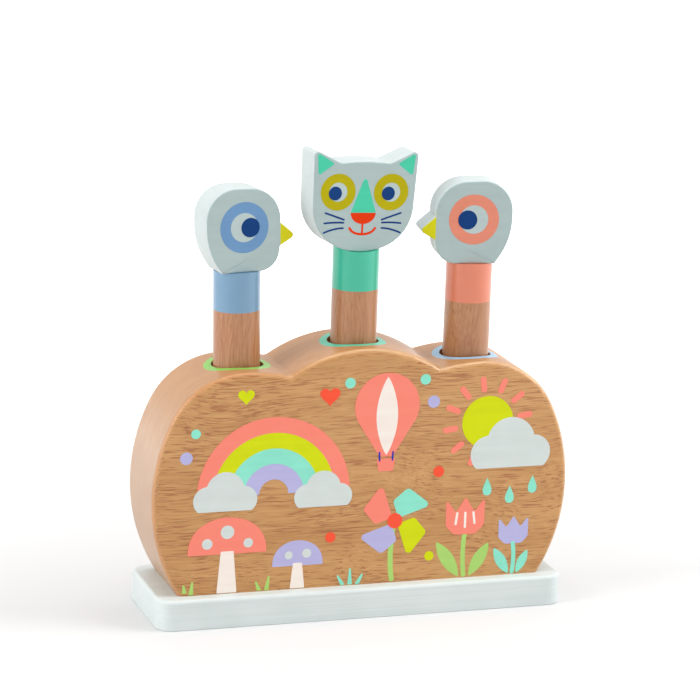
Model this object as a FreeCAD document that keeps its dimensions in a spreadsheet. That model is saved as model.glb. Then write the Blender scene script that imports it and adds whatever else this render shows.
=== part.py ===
"""Pop-up animal toy: a wooden block on a painted board, with three sprung peg figures.

Frame: millimetres, +Z up, +X to the right of the printed face, which looks along -Y.
The origin is the middle of the board's underside.
"""

import FreeCAD
import Part
import Sketcher
import math
import os
import re

# Each row is an alias, its value in millimetres or degrees, and what it measures.
SIZES = [
    ("board_length", 227.0, "base board, along X"),
    ("board_depth", 68.0, "base board, along Y"),
    ("board_thickness", 16.5, "base board, along Z"),
    ("board_corner", 9.0, "plan corner radius of the board"),
    ("board_round", 2.0, "roundover of the board's top edge"),
    ("block_depth", 53.0, "block, front face to back face"),
    ("block_width", 232.0, "block width at its widest"),
    ("bulge_height", 68.0, "height of the widest place"),
    ("side_radius", 98.7, "curve of the block's sides at that place"),
    ("hump_offset", 66.0, "side hump's top, from the middle"),
    ("hump_height", 136.5, "side hump's top, above the table"),
    ("valley_offset", 41.8, "valley beside the middle hump, from the middle"),
    ("valley_drop", 3.1, "valley below the side humps' tops"),
    ("crown_lift", 9.9, "middle hump's top above the side humps' tops"),
    ("valley_round", 4.0, "cutter radius left in the valleys"),
    ("block_round", 3.0, "roundover of the block's outline edges"),
    ("bore_pitch", 64.0, "spacing of the three bores"),
    ("peg_diameter", 25.0, "turned peg"),
    ("peg_play", 3.0, "bore diameter beyond the peg's"),
    ("side_peg_length", 105.0, "peg of a bird figure"),
    ("centre_peg_length", 116.0, "peg of the cat figure, which stands in the taller hump"),
    ("peg_ease", 1.5, "rounded lower edge of a peg"),
    ("head_thickness", 19.0, "flat cut-out heads"),
    ("head_round", 0.8, "broken edge round a head's faces"),
    ("bird_width", 42.0, "bird head without its beak"),
    ("bird_shoulder", 25.6, "height where the bird head is widest, above its foot"),
    ("bird_flat", 4.0, "flat top of the bird head between its round corners"),
    ("bird_foot", 20.0, "flat foot of the bird head on its peg"),
    ("beak_reach", 8.0, "beak tip beyond the side of the head"),
    ("beak_tip_height", 19.6, "beak tip above the foot"),
    ("beak_root", 4.0, "root of the beak, inside the side of the head"),
    ("beak_root_height", 17.0, "height of the beak at that root"),
    ("beak_rise", 1.3, "middle of the root above the tip"),
    ("beak_round", 2.0, "rounded tip of the beak"),
    ("beak_blend", 1.2, "cutter radius left where the beak meets the head"),
    ("cat_width", 57.6, "cat head across the cheeks"),
    ("chin_radius", 36.0, "chin arc of the cat head"),
    ("cheek_height", 25.0, "widest place of the cheeks above the chin"),
    ("ear_spread", 59.8, "distance between the sharp ear corners"),
    ("ear_height", 55.2, "sharp ear corner above the chin"),
    ("ear_round", 2.4, "rounded ear tip"),
    ("crown_span", 28.0, "top of the cat head between the ears"),
    ("crown_edge", 47.6, "ends of that span above the chin"),
    ("crown_rise", 0.9, "rise of the top between its ends"),
    ("crown_blend", 6.0, "hollow where an ear meets the top"),
    ("glue_gap", 0.05, "glue line at the chin and round a dowel"),
    ("dowel_diameter", 8.0, "dowel that joins a head to its peg"),
    ("dowel_in_head", 15.0, "length of the dowel in the head"),
    ("dowel_in_peg", 15.0, "length of the dowel in the peg"),
    ("dowel_chamfer", 0.8, "chamfered ends of the dowel"),
    ("dowel_end_room", 0.5, "room for glue past each end of the dowel"),
    ("left_turn", 7.0, "left figure turned about its peg"),
    ("centre_turn", 4.5, "middle figure turned about its peg"),
    ("right_turn", -8.0, "right figure turned about its peg"),
    ("left_lean", -0.9, "left figure leaning in its loose bore, towards +X"),
    ("centre_lean", 0.4, "middle figure leaning the same way"),
    ("right_lean", 0.5, "right figure leaning the same way"),
    ("cat_roll", 2.2, "cat head glued askew in its round seat"),
    ("spring_height", 64.5, "spring under the weight of a figure"),
    ("spring_diameter", 22.0, "mean diameter of the spring's turns"),
    ("wire_diameter", 1.2, "spring wire"),
    ("tail_diameter", 11.0, "mean diameter where the screwed-down turn starts"),
    ("turn_gap", 0.5, "gap between the last turn at the top and the one below it"),
    ("seat_gap", 0.35, "gap between the spring and what it bears on"),
    ("washer_diameter", 16.0, "washer on the spring's small turn"),
    ("washer_play", 0.7, "hole of that washer beyond the screw's shank"),
    ("washer_thickness", 1.0, "thickness of that washer"),
    ("pan_head_diameter", 7.4, "head of the spring's screw"),
    ("pan_head_height", 2.4, "height of that head"),
    ("pan_shank_diameter", 3.5, "shank of the spring's screw"),
    ("pan_screw_length", 14.0, "shank of that screw with its point"),
    ("flat_shank_diameter", 4.0, "shank of a countersunk screw into the block"),
    ("flat_head_diameter", 8.0, "countersunk head of that screw"),
    ("flat_screw_length", 35.0, "whole length of that screw"),
    ("flat_spread_x", 178.0, "spacing of these screws along X"),
    ("flat_spread_y", 26.0, "spacing of these screws along Y"),
    ("flat_inset", 0.4, "their heads above the board's underside"),
    ("point_length", 4.0, "tapered point of a screw"),
    ("point_diameter", 0.8, "blunt end of that point"),
    ("hole_gap", 0.05, "gap between a screw and its pilot hole"),
]
ALIASES = [alias for alias, _, _ in SIZES]

# Turns of a spring from the screwed-down end, in quarter turns.
TAIL_QUARTERS = 4
STEADY_QUARTERS = 26
END_QUARTERS = 4

CORNER_SIGNS = [(1, 1), (-1, 1), (-1, -1), (1, -1)]
AXES = {"Y": "0; 1; 0", "Z": "0; 0; 1"}
UP = FreeCAD.Vector(0, 0, 1)

doc = FreeCAD.newDocument("PopUpToy")
sheet = doc.addObject("Spreadsheet::Sheet", "Sizes")
for row, (alias, value, meaning) in enumerate(SIZES, start=1):
    sheet.set("A%d" % row, alias)
    sheet.set("B%d" % row, str(value))
    sheet.set("C%d" % row, meaning)
    sheet.setAlias("B%d" % row, alias)
doc.recompute()

subparts = []


def linked(rule):
    """Write a rule so that each alias in it is read from the sheet."""
    return re.sub(r"[a-z][a-z_]*", lambda word: word[0] if word[0] not in ALIASES else "Sizes." + word[0], rule)


def measure(rule):
    """Give the present value of a rule."""
    return float(sheet.evalExpression(linked(rule)))


def bind(thing, **rules):
    """Bind properties of an object to rules; a double underscore stands for a dot."""
    for key, rule in rules.items():
        thing.setExpression(key.replace("__", "."), linked(rule))


def moved(x="0", z="0"):
    """Write the rule for a move."""
    return "placement(vector(%s; 0; %s); rotation(vector(0; 0; 1); 0))" % (x, z)


def turned(axis, angle, height="0"):
    """Write the rule for a turn about a level or upright axis through that height on the Z axis."""
    turn = "placement(vector(0; 0; %s); rotation(vector(%s); %s))" % (height, AXES[axis], angle)
    return turn + " * " + moved(z="-(%s)" % height)


def keep(thing, node, *steps):
    """Make an object the sub-part of that name, placed by rules of which the last acts first."""
    thing.Label = node
    rule = " * ".join(steps) if steps else moved()
    thing.Placement = sheet.evalExpression(linked(rule))
    bind(thing, Placement=rule)
    subparts.append(thing)


def new_sketch(body, name, plane, height="0"):
    """Start a sketch on one of the body's origin planes, moved along its normal by a rule."""
    sketch = body.newObject("Sketcher::SketchObject", body.Name + "_" + name)
    support = [item for item in body.Origin.OriginFeatures if item.Role == plane + "_Plane"]
    sketch.AttachmentSupport = [(support[0], "")]
    sketch.MapMode = "FlatFace"
    bind(sketch, AttachmentOffset__Base__z=height)
    return sketch


def fix(sketch, rule, kind, *where):
    """Add a dimension that follows a rule."""
    index = sketch.addConstraint(Sketcher.Constraint(kind, *where, measure(rule)))
    sketch.setExpression("Constraints[%d]" % index, linked(rule))


def point_at(sketch, piece, end, x, y):
    """Put a point of a piece of the sketch where two rules say."""
    for rule, kind, axis in ((x, "DistanceX", -2), (y, "DistanceY", -1)):
        if rule == "0":
            sketch.addConstraint(Sketcher.Constraint("PointOnObject", piece, end, axis))
        else:
            fix(sketch, rule, kind, -1, 1, piece, end)


def line(sketch, start, end):
    """Add a line between two points of the sketch."""
    return sketch.addGeometry(Part.LineSegment(FreeCAD.Vector(*start, 0), FreeCAD.Vector(*end, 0)))


def arc(sketch, centre, start, end):
    """Add the anticlockwise arc about a centre from one point to another."""
    circle = Part.Circle(FreeCAD.Vector(*centre, 0), UP, math.dist(centre, start))
    angles = [math.atan2(y - centre[1], x - centre[0]) for x, y in (start, end)]
    return sketch.addGeometry(Part.ArcOfCircle(circle, *angles))


def circle_at(sketch, x, y, diameter):
    """Add a circle whose centre and diameter follow rules."""
    centre = FreeCAD.Vector(measure(x), measure(y), 0)
    index = sketch.addGeometry(Part.Circle(centre, UP, measure(diameter) / 2))
    fix(sketch, diameter, "Diameter", index)
    point_at(sketch, index, 3, x, y)


def join(sketch, kind, *pieces):
    """Join each piece's end to the start of the next one."""
    for first, second in zip(pieces, pieces[1:]):
        sketch.addConstraint(Sketcher.Constraint(kind, first, 2, second, 1))


def pad(body, sketch, length, both=False):
    """Pad a sketch by a rule, to both sides of its plane if asked."""
    feature = body.newObject("PartDesign::Pad", sketch.Name + "_pad")
    feature.Profile = sketch
    feature.SideType = "Symmetric" if both else "One side"
    bind(feature, Length=length)
    doc.recompute()
    return feature


def cut(body, sketch, length, upwards=False, both=False):
    """Cut a sketch out of the body, and make sure that it takes something away."""
    before = body.Shape.Volume
    feature = body.newObject("PartDesign::Pocket", sketch.Name + "_cut")
    feature.Profile = sketch
    feature.SideType = "Symmetric" if both else "One side"
    feature.Reversed = upwards
    bind(feature, Length=length)
    doc.recompute()
    if body.Shape.Volume > before - 1:
        raise RuntimeError(feature.Name + " cuts nothing")
    return feature


def soften(body, name, radius, wanted):
    """Round those edges of the body that a test picks."""
    base = body.Tip
    chosen = ["Edge%d" % number for number, edge in enumerate(base.Shape.Edges, start=1) if wanted(edge)]
    feature = body.newObject("PartDesign::Fillet", body.Name + "_" + name)
    feature.Base = (base, chosen)
    bind(feature, Radius=radius)
    doc.recompute()
    return feature


def lies_at(edge, axis, value):
    """Tell whether a whole edge lies in the plane where that axis has that value."""
    low = getattr(edge.BoundBox, axis + "Min")
    high = getattr(edge.BoundBox, axis + "Max")
    return abs(low - value) < 1e-4 and abs(high - value) < 1e-4


def runs_along_y_at(edge, x, z):
    """Tell whether an edge runs along Y through a place in the XZ plane."""
    box = edge.BoundBox
    middle = math.hypot(abs(box.Center.x) - x, box.Center.z - z)
    return middle < 1e-3 and max(box.XLength, box.ZLength) < 1e-3


def make_board():
    """Board with rounded corners and a rounded top edge, holes for the screws from below."""
    body = doc.addObject("PartDesign::Body", "base_board")
    outline = new_sketch(body, "outline", "XY")
    half_x = measure("board_length / 2")
    half_y = measure("board_depth / 2")
    corner = measure("board_corner")
    corners = []
    ends = []
    for x_sign, y_sign in CORNER_SIGNS:
        centre = (x_sign * (half_x - corner), y_sign * (half_y - corner))
        across = (x_sign * half_x, centre[1])
        along = (centre[0], y_sign * half_y)
        ends.append((across, along) if x_sign == y_sign else (along, across))
        corners.append(arc(outline, centre, *ends[-1]))
    sides = [line(outline, ends[turn - 1][1], ends[turn][0]) for turn in range(4)]
    for turn in range(4):
        join(outline, "Tangent", sides[turn], corners[turn])
        join(outline, "Tangent", corners[turn - 1], sides[turn])
    for turn, direction in enumerate(("Vertical", "Horizontal", "Vertical", "Horizontal")):
        outline.addConstraint(Sketcher.Constraint(direction, sides[turn]))
    for turn in (1, 2, 3):
        outline.addConstraint(Sketcher.Constraint("Equal", corners[0], corners[turn]))
    fix(outline, "board_corner", "Radius", corners[0])
    point_at(outline, corners[0], 3, "board_length / 2 - board_corner", "board_depth / 2 - board_corner")
    point_at(outline, corners[2], 3, "board_corner - board_length / 2", "board_corner - board_depth / 2")
    pad(body, outline, "board_thickness")
    soften(body, "top_round", "board_round", lambda edge: lies_at(edge, "Z", measure("board_thickness")))

    pilots = new_sketch(body, "pilots", "XY", "board_thickness")
    for side in (-1, 0, 1):
        circle_at(pilots, "%d * bore_pitch" % side if side else "0", "0", "pan_shank_diameter + 2 * hole_gap")
    cut(body, pilots, "pan_screw_length")

    through = new_sketch(body, "through", "XY")
    for x_sign, y_sign in CORNER_SIGNS:
        x = "%d * flat_spread_x / 2" % x_sign
        y = "%d * flat_spread_y / 2" % y_sign
        circle_at(through, x, y, "flat_shank_diameter + 2 * hole_gap")
    before = body.Shape.Volume
    sinks = body.newObject("PartDesign::Hole", "base_board_sinks")
    sinks.Profile = through
    sinks.Reversed = True
    sinks.DepthType = "ThroughAll"
    sinks.HoleCutType = "Countersink"
    sinks.HoleCutCustomValues = True
    sinks.HoleCutCountersinkAngle = 90
    bind(sinks, Diameter="flat_shank_diameter + 2 * hole_gap")
    bind(sinks, HoleCutDiameter="flat_head_diameter + 2 * hole_gap + 2 * flat_inset")
    doc.recompute()
    if body.Shape.Volume > before - 1:
        raise RuntimeError("the countersunk holes cut nothing")
    keep(body, "base_board")


def make_block():
    """Block with a three-humped outline of arcs, its long edges rounded, and three bores."""
    body = doc.addObject("PartDesign::Body", "block")
    outline = new_sketch(body, "outline", "XZ")
    foot_rule = "block_width / 2 - side_radius + sqrt(side_radius ^ 2 - (bulge_height - board_thickness) ^ 2)"
    foot = (measure(foot_rule), measure("board_thickness"))
    side_radius = measure("side_radius")
    side_centre = (measure("block_width / 2") - side_radius, measure("bulge_height"))
    apex = (measure("hump_offset"), measure("hump_height"))
    valley = (measure("valley_offset"), measure("hump_height - valley_drop"))
    # The shoulder arc is tangent inside the side arc and level at the hump's top.
    run = apex[0] - side_centre[0]
    rise = apex[1] - side_centre[1]
    shoulder_radius = (run ** 2 + rise ** 2 - side_radius ** 2) / (2 * (rise - side_radius))
    shoulder_centre = (apex[0], apex[1] - shoulder_radius)
    gap = math.dist(side_centre, shoulder_centre)
    shoulder = [
        here + (here - there) * shoulder_radius / gap for here, there in zip(shoulder_centre, side_centre)
    ]
    drop = apex[1] - valley[1]
    inner_radius = ((apex[0] - valley[0]) ** 2 + drop ** 2) / (2 * drop)
    crown_rule = "(valley_offset ^ 2 + (crown_lift + valley_drop) ^ 2) / (2 * (crown_lift + valley_drop))"
    crown_centre = (0, measure("hump_height + crown_lift") - measure(crown_rule))

    def mirrored(point):
        return (-point[0], point[1])

    inner_centre = (apex[0], apex[1] - inner_radius)
    bottom = line(outline, mirrored(foot), foot)
    right = [
        arc(outline, side_centre, foot, shoulder),
        arc(outline, shoulder_centre, shoulder, apex),
        arc(outline, inner_centre, apex, valley),
    ]
    crown = arc(outline, crown_centre, valley, mirrored(valley))
    left = [
        arc(outline, mirrored(inner_centre), mirrored(valley), mirrored(apex)),
        arc(outline, mirrored(shoulder_centre), mirrored(apex), mirrored(shoulder)),
        arc(outline, mirrored(side_centre), mirrored(shoulder), mirrored(foot)),
    ]
    join(outline, "Tangent", *right)
    join(outline, "Tangent", *left)
    join(outline, "Coincident", right[2], crown, left[0])
    join(outline, "Coincident", left[2], bottom, right[0])
    for sign, (long_side, hump, inner) in ((1, right), (-1, left[::-1])):
        foot_end, apex_end, valley_end = (1, 2, 2) if sign > 0 else (2, 1, 1)
        point_at(outline, long_side, foot_end, "%d * (%s)" % (sign, foot_rule), "board_thickness")
        point_at(outline, hump, apex_end, "%d * hump_offset" % sign, "hump_height")
        point_at(outline, inner, valley_end, "%d * valley_offset" % sign, "hump_height - valley_drop")
        fix(outline, "side_radius", "Radius", long_side)
        fix(outline, "bulge_height", "DistanceY", -1, 1, long_side, 3)
        outline.addConstraint(Sketcher.Constraint("Vertical", hump, 3, hump, apex_end))
    fix(outline, crown_rule, "Radius", crown)
    pad(body, outline, "block_depth", both=True)
    soften(body, "valleys", "valley_round", lambda edge: runs_along_y_at(edge, *valley))

    def on_a_face(edge):
        level = lies_at(edge, "Z", foot[1])
        return not level and any(lies_at(edge, "Y", sign * measure("block_depth / 2")) for sign in (-1, 1))

    soften(body, "roundover", "block_round", on_a_face)

    bores = new_sketch(body, "bores", "XY", "board_thickness")
    for side in (-1, 0, 1):
        circle_at(bores, "%d * bore_pitch" % side if side else "0", "0", "peg_diameter + peg_play")
    cut(body, bores, "hump_height + crown_lift", upwards=True)

    pilots = new_sketch(body, "pilots", "XY", "board_thickness")
    for x_sign, y_sign in CORNER_SIGNS:
        x = "%d * flat_spread_x / 2" % x_sign
        y = "%d * flat_spread_y / 2" % y_sign
        circle_at(pilots, x, y, "flat_shank_diameter + 2 * hole_gap")
    cut(body, pilots, "flat_screw_length + flat_inset - board_thickness", upwards=True)
    keep(body, "block")


def make_peg(node, length, top_cut=False):
    """Turned peg with an eased lower edge and a blind hole for the dowel in its top."""
    body = doc.addObject("PartDesign::Body", node)
    profile = new_sketch(body, "profile", "XY")
    circle_at(profile, "0", "0", "peg_diameter")
    pad(body, profile, length)
    soften(body, "ease", "peg_ease", lambda edge: lies_at(edge, "Z", 0))
    if top_cut:
        cope = new_sketch(body, "cope", "XZ")
        circle_at(cope, "0", CHIN_SEAT + " + chin_radius", "2 * chin_radius + 2 * glue_gap")
        cut(body, cope, "2 * peg_diameter", both=True)
    hole = new_sketch(body, "dowel_hole", "XY", length)
    circle_at(hole, "0", "0", "dowel_diameter + 2 * glue_gap")
    depth = "dowel_in_peg + dowel_end_room"
    if top_cut:
        depth += " + %s - %s" % (length, CHIN_SEAT)
    cut(body, hole, depth)
    return body


def drill_head(body, askew=False):
    """Drill the blind hole for the dowel up into a head, in line with the peg."""
    hole = new_sketch(body, "dowel_hole", "XY")
    if askew:
        bind(hole, AttachmentOffset=turned("Y", "-cat_roll", "chin_radius"))
    circle_at(hole, "0", "0", "dowel_diameter + 2 * glue_gap")
    cut(body, hole, "dowel_in_head + dowel_end_room", upwards=True)


def soften_head(body):
    """Break the edges of both faces of a head."""
    half = measure("head_thickness / 2")
    soften(body, "faces", "head_round", lambda edge: any(lies_at(edge, "Y", sign * half) for sign in (-1, 1)))


def make_bird_head(node):
    """Bird head cut from flat stock: rounded outline on a flat foot, beak towards +X."""
    body = doc.addObject("PartDesign::Body", node)
    outline = new_sketch(body, "outline", "XZ")
    inset = "((bird_width - bird_foot) / 2)"
    side_rule = "(%s ^ 2 + bird_shoulder ^ 2) / (2 * %s)" % (inset, inset)
    half = measure("bird_width / 2")
    foot = (measure("bird_foot / 2"), 0)
    shoulder = (half, measure("bird_shoulder"))
    side_centre = (half - measure(side_rule), shoulder[1])
    top_radius = "(bird_width - bird_flat) / 2"
    top_centre = (half - measure(top_radius), shoulder[1])
    top = (top_centre[0], shoulder[1] + measure(top_radius))

    def mirrored(point):
        return (-point[0], point[1])

    pieces = [
        line(outline, mirrored(foot), foot),
        arc(outline, side_centre, foot, shoulder),
        arc(outline, top_centre, shoulder, top),
        line(outline, top, mirrored(top)),
        arc(outline, mirrored(top_centre), mirrored(top), mirrored(shoulder)),
        arc(outline, mirrored(side_centre), mirrored(shoulder), mirrored(foot)),
    ]
    join(outline, "Coincident", pieces[5], pieces[0], pieces[1])
    join(outline, "Tangent", *pieces[1:])
    for sign, side, corner, side_end, foot_end in ((1, 1, 2, 2, 1), (-1, 5, 4, 1, 2)):
        point_at(outline, pieces[side], foot_end, "%d * bird_foot / 2" % sign, "0")
        point_at(outline, pieces[side], side_end, "%d * bird_width / 2" % sign, "bird_shoulder")
        fix(outline, side_rule, "Radius", pieces[side])
        fix(outline, top_radius, "Radius", pieces[corner])
    pad(body, outline, "head_thickness", both=True)

    beak = new_sketch(body, "beak", "XZ")
    root_x = "bird_width / 2 - beak_root"
    root_middle = "beak_tip_height + beak_rise"
    upper_rule = root_middle + " + beak_root_height / 2"
    lower_rule = root_middle + " - beak_root_height / 2"
    tip_rule = "bird_width / 2 + beak_reach"
    upper = (measure(root_x), measure(upper_rule))
    lower = (measure(root_x), measure(lower_rule))
    tip_centre = (measure(tip_rule + " - beak_round"), measure("beak_tip_height"))
    # Each long edge leaves the tip's arc where the radius is square to the edge.
    touches = []
    for root, side in ((lower, -1), (upper, 1)):
        away = math.dist(root, tip_centre)
        towards = math.atan2(root[1] - tip_centre[1], root[0] - tip_centre[0])
        angle = towards - side * math.acos(measure("beak_round") / away)
        touches.append([tip_centre[0] + measure("beak_round") * math.cos(angle),
                        tip_centre[1] + measure("beak_round") * math.sin(angle)])
    edges = [
        line(beak, upper, lower),
        line(beak, lower, touches[0]),
        arc(beak, tip_centre, touches[0], touches[1]),
        line(beak, touches[1], upper),
    ]
    join(beak, "Coincident", edges[3], edges[0], edges[1])
    join(beak, "Tangent", *edges[1:])
    point_at(beak, edges[0], 1, root_x, upper_rule)
    point_at(beak, edges[0], 2, root_x, lower_rule)
    point_at(beak, edges[2], 3, tip_rule + " - beak_round", "beak_tip_height")
    fix(beak, "beak_round", "Radius", edges[2])
    pad(body, beak, "head_thickness", both=True)
    drawn = [upper, lower, foot, shoulder, top, *touches]

    def meets_the_head(edge):
        centre = edge.BoundBox.Center
        new = all(math.dist((centre.x, centre.z), corner) > 1e-3 for corner in drawn)
        return new and centre.x > 0 and runs_along_y_at(edge, centre.x, centre.z)

    soften(body, "beak_roots", "beak_blend", meets_the_head)
    soften_head(body)
    drill_head(body)
    return body


def make_cat_head(node):
    """Cat head cut from flat stock: round chin, two ears and a slightly domed top."""
    body = doc.addObject("PartDesign::Body", node)
    outline = new_sketch(body, "outline", "XZ")
    chin_centre = (0, measure("chin_radius"))
    cheek = (measure("cat_width / 2"), measure("cheek_height"))
    # The jaw arc is upright at the cheek and tangent inside the chin arc.
    reach = measure("chin_radius") - cheek[1]
    slack = measure("chin_radius") - cheek[0]
    jaw_radius = (measure("chin_radius") ** 2 - reach ** 2 - cheek[0] ** 2) / (2 * slack)
    jaw_centre = (cheek[0] - jaw_radius, cheek[1])
    gap = math.dist(chin_centre, jaw_centre)
    jaw = [here + (here - there) * jaw_radius / gap for here, there in zip(jaw_centre, chin_centre)]
    ear = (measure("ear_spread / 2"), measure("ear_height"))
    notch = (measure("crown_span / 2"), measure("crown_edge"))
    crown_rule = "((crown_span / 2) ^ 2 + crown_rise ^ 2) / (2 * crown_rise)"
    crown_centre = (0, measure("crown_edge + crown_rise") - measure(crown_rule))

    def mirrored(point):
        return (-point[0], point[1])

    pieces = [
        arc(outline, chin_centre, mirrored(jaw), jaw),
        arc(outline, jaw_centre, jaw, cheek),
        line(outline, cheek, ear),
        line(outline, ear, notch),
        arc(outline, crown_centre, notch, mirrored(notch)),
        line(outline, mirrored(notch), mirrored(ear)),
        line(outline, mirrored(ear), mirrored(cheek)),
        arc(outline, mirrored(jaw_centre), mirrored(cheek), mirrored(jaw)),
    ]
    join(outline, "Tangent", pieces[7], pieces[0], pieces[1])
    join(outline, "Coincident", *pieces[1:])
    point_at(outline, pieces[0], 3, "0", "chin_radius")
    fix(outline, "chin_radius", "Radius", pieces[0])
    for sign, jaw_piece, cheek_end, ear_piece, notch_end in ((1, 1, 2, 2, 1), (-1, 7, 1, 5, 2)):
        point_at(outline, pieces[jaw_piece], cheek_end, "%d * cat_width / 2" % sign, "cheek_height")
        outline.addConstraint(Sketcher.Constraint("Horizontal", pieces[jaw_piece], 3, pieces[jaw_piece], cheek_end))
        point_at(outline, pieces[ear_piece], 2, "%d * ear_spread / 2" % sign, "ear_height")
        point_at(outline, pieces[4], notch_end, "%d * crown_span / 2" % sign, "crown_edge")
    fix(outline, crown_rule, "Radius", pieces[4])
    pad(body, outline, "head_thickness", both=True)
    soften(body, "ears", "ear_round", lambda edge: runs_along_y_at(edge, *ear))
    soften(body, "hollows", "crown_blend", lambda edge: runs_along_y_at(edge, *notch))
    soften_head(body)
    drill_head(body, askew=True)
    return body


def make_dowel(name):
    """Short chamfered dowel, drawn upwards from its lower end."""
    rod = doc.addObject("Part::Cylinder", name + "_rod")
    bind(rod, Radius="dowel_diameter / 2", Height="dowel_in_head + dowel_in_peg")
    doc.recompute()
    dowel = doc.addObject("Part::Chamfer", name)
    dowel.Base = rod
    size = measure("dowel_chamfer")
    rims = [number for number, edge in enumerate(rod.Shape.Edges, start=1) if abs(edge.BoundBox.ZLength) < 1e-4]
    dowel.Edges = [(number, size, size) for number in rims]
    doc.recompute()
    return dowel


def make_washer(name):
    """Plain washer, drawn upwards from its lower face."""
    disc = doc.addObject("Part::Cylinder", name + "_disc")
    bind(disc, Radius="washer_diameter / 2", Height="washer_thickness")
    hole = doc.addObject("Part::Cylinder", name + "_hole")
    bind(hole, Radius="(pan_shank_diameter + washer_play) / 2", Height="washer_thickness")
    washer = doc.addObject("Part::Cut", name)
    washer.Base = disc
    washer.Tool = hole
    doc.recompute()
    return washer


def screw_pieces(name, shank_radius, shank_length, sign):
    """Shank and tapered point of a screw, drawn away from its head along Z."""
    shank = doc.addObject("Part::Cylinder", name + "_shank")
    bind(shank, Radius=shank_radius, Height=shank_length)
    point = doc.addObject("Part::Cone", name + "_point")
    radii = {"Radius1": shank_radius, "Radius2": "point_diameter / 2"}
    if sign < 0:
        bind(shank, Placement__Base__z="-(%s)" % shank_length)
        radii = {"Radius2": shank_radius, "Radius1": "point_diameter / 2"}
        bind(point, Placement__Base__z="-(%s) - point_length" % shank_length)
    else:
        bind(point, Placement__Base__z=shank_length)
    bind(point, Height="point_length", **radii)
    return [shank, point]


def make_pan_screw(name):
    """Pan-head wood screw with its point down; the origin is under its head."""
    head = doc.addObject("Part::Cylinder", name + "_blank")
    bind(head, Radius="pan_head_diameter / 2", Height="pan_head_height")
    doc.recompute()
    dome = doc.addObject("Part::Fillet", name + "_head")
    dome.Base = head
    round_off = measure("pan_head_height / 2")
    rims = [number for number, edge in enumerate(head.Shape.Edges, start=1)
            if lies_at(edge, "Z", measure("pan_head_height"))]
    dome.Edges = [(number, round_off, round_off) for number in rims]
    screw = doc.addObject("Part::MultiFuse", name)
    pieces = screw_pieces(name, "pan_shank_diameter / 2", "pan_screw_length - point_length", -1)
    screw.Shapes = [dome] + pieces
    doc.recompute()
    return screw


def make_flat_screw(name, x, y):
    """Countersunk wood screw with its point up, its head just inside the board."""
    head = doc.addObject("Part::Cone", name + "_head")
    bind(head, Radius1="flat_head_diameter / 2", Radius2="flat_shank_diameter / 2")
    bind(head, Height="(flat_head_diameter - flat_shank_diameter) / 2")
    screw = doc.addObject("Part::MultiFuse", name)
    pieces = screw_pieces(name, "flat_shank_diameter / 2", "flat_screw_length - point_length", 1)
    screw.Shapes = [head] + pieces
    bind(screw, Placement__Base__x=x, Placement__Base__y=y, Placement__Base__z="flat_inset")
    doc.recompute()
    return screw


def biarc(start, start_way, end, end_way):
    """Two tangent arcs from one point and direction to another, with equal tangent lengths."""
    chord = end - start
    both = start_way + end_way
    square = 2 * (start_way.dot(end_way) - 1)
    slope = -2 * chord.dot(both)
    reach = (-slope - math.sqrt(slope ** 2 - 4 * square * chord.dot(chord))) / (2 * square)
    if reach < 0:
        reach = (-slope + math.sqrt(slope ** 2 - 4 * square * chord.dot(chord))) / (2 * square)
    first_corner = start + start_way * reach
    last_corner = end - end_way * reach
    joint = (first_corner + last_corner) * 0.5
    edges = []
    for low, corner, high in ((start, first_corner, joint), (joint, last_corner, end)):
        middle = (low + high) * 0.5
        half = (high - low).Length / 2
        height = (corner - middle).Length
        radius = half * math.hypot(half, height) / height
        sagitta = radius - math.sqrt(radius ** 2 - half ** 2)
        top = middle + (corner - middle) * (sagitta / height)
        edges.append(Part.Arc(low, top, high).toShape())
    return edges


def spring_point(quarters):
    """Place and direction of the wire's middle after so many quarter turns from its tail.

    The tail is a flat spiral from the small diameter to the full one.  The pitch then grows
    over a quarter turn, stays steady, shrinks over a quarter turn and stays small to the end.
    """
    wire = measure("wire_diameter")
    slow = (wire + measure("turn_gap")) / 4
    rise = measure("spring_height") - wire - slow * (END_QUARTERS + 0.5)
    steady = rise / (STEADY_QUARTERS + 1)
    small = measure("tail_diameter") / 2
    full = measure("spring_diameter") / 2
    share = min(quarters / TAIL_QUARTERS, 1)
    radius = small + (full - small) * share
    radius_rate = (full - small) / TAIL_QUARTERS if quarters < TAIL_QUARTERS else 0
    stretches = [(1, 0, steady), (STEADY_QUARTERS, steady, steady), (1, steady, slow), (END_QUARTERS, slow, slow)]
    height = wire / 2
    rate = 0
    left = quarters - TAIL_QUARTERS
    for length, first, last in stretches:
        if left <= 0:
            break
        part = min(left, length)
        rate = first + (last - first) * part / length
        height += (first + rate) / 2 * part
        left -= length
    angle = quarters * math.pi / 2
    outward = FreeCAD.Vector(math.cos(angle), math.sin(angle), 0)
    onward = FreeCAD.Vector(-math.sin(angle), math.cos(angle), 0)
    way = outward * radius_rate + onward * (radius * math.pi / 2) + UP * rate
    return outward * radius + UP * height, way.normalize()


def least_gap(total):
    """Least gap of the wire to itself, measured between points a half turn or more apart."""
    steps = 8
    points = [spring_point(number / steps)[0] for number in range(total * steps + 1)]
    nearest = min(
        points[low].distanceToPoint(points[high])
        for low in range(len(points))
        for high in range(low + 2 * steps, len(points))
    )
    return nearest - measure("wire_diameter")


def spring_shape():
    """One unbroken wire swept along biarcs of a quarter turn."""
    total = TAIL_QUARTERS + STEADY_QUARTERS + END_QUARTERS + 2
    stops = [spring_point(number) for number in range(total + 1)]
    edges = []
    for (start, start_way), (end, end_way) in zip(stops, stops[1:]):
        edges += biarc(start, start_way, end, end_way)
    path = Part.Wire(edges)
    start, way = stops[0]
    section = Part.Wire([Part.Circle(start, way, measure("wire_diameter / 2")).toShape()])
    print("spring: %d turns, least gap %.2f mm" % (total / 4, least_gap(total)))
    return path.makePipeShell([section], True, False)


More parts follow.
